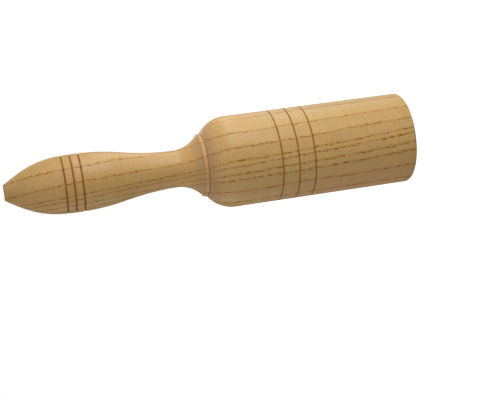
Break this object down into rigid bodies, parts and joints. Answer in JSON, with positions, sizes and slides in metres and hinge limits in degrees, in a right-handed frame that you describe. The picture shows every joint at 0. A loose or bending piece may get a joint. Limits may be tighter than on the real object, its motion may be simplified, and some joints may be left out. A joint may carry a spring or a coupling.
{
  "type": "tone block",
  "caption": "Hand-held wooden tone block: a hollow turned sound barrel, open at one end and slotted along one side, with a turned handle in line with it.",
  "frame": {"origin": "middle of the barrel's open rim, on the plane of its flat face", "axes": "+Z along the turning axis, from the open rim to the tip of the handle; +Y towards the sound slot in the barrel's wall; the picture was taken from the -Y side"},
  "size_m": [0.05, 0.05, 0.2217],
  "materials": {
    "ash": "clear satin lacquer on turned ash, with burnt brown rings"
  },
  "bodies": {
    "root": {"tone_block": "ash"}
  },
  "joints": []
}
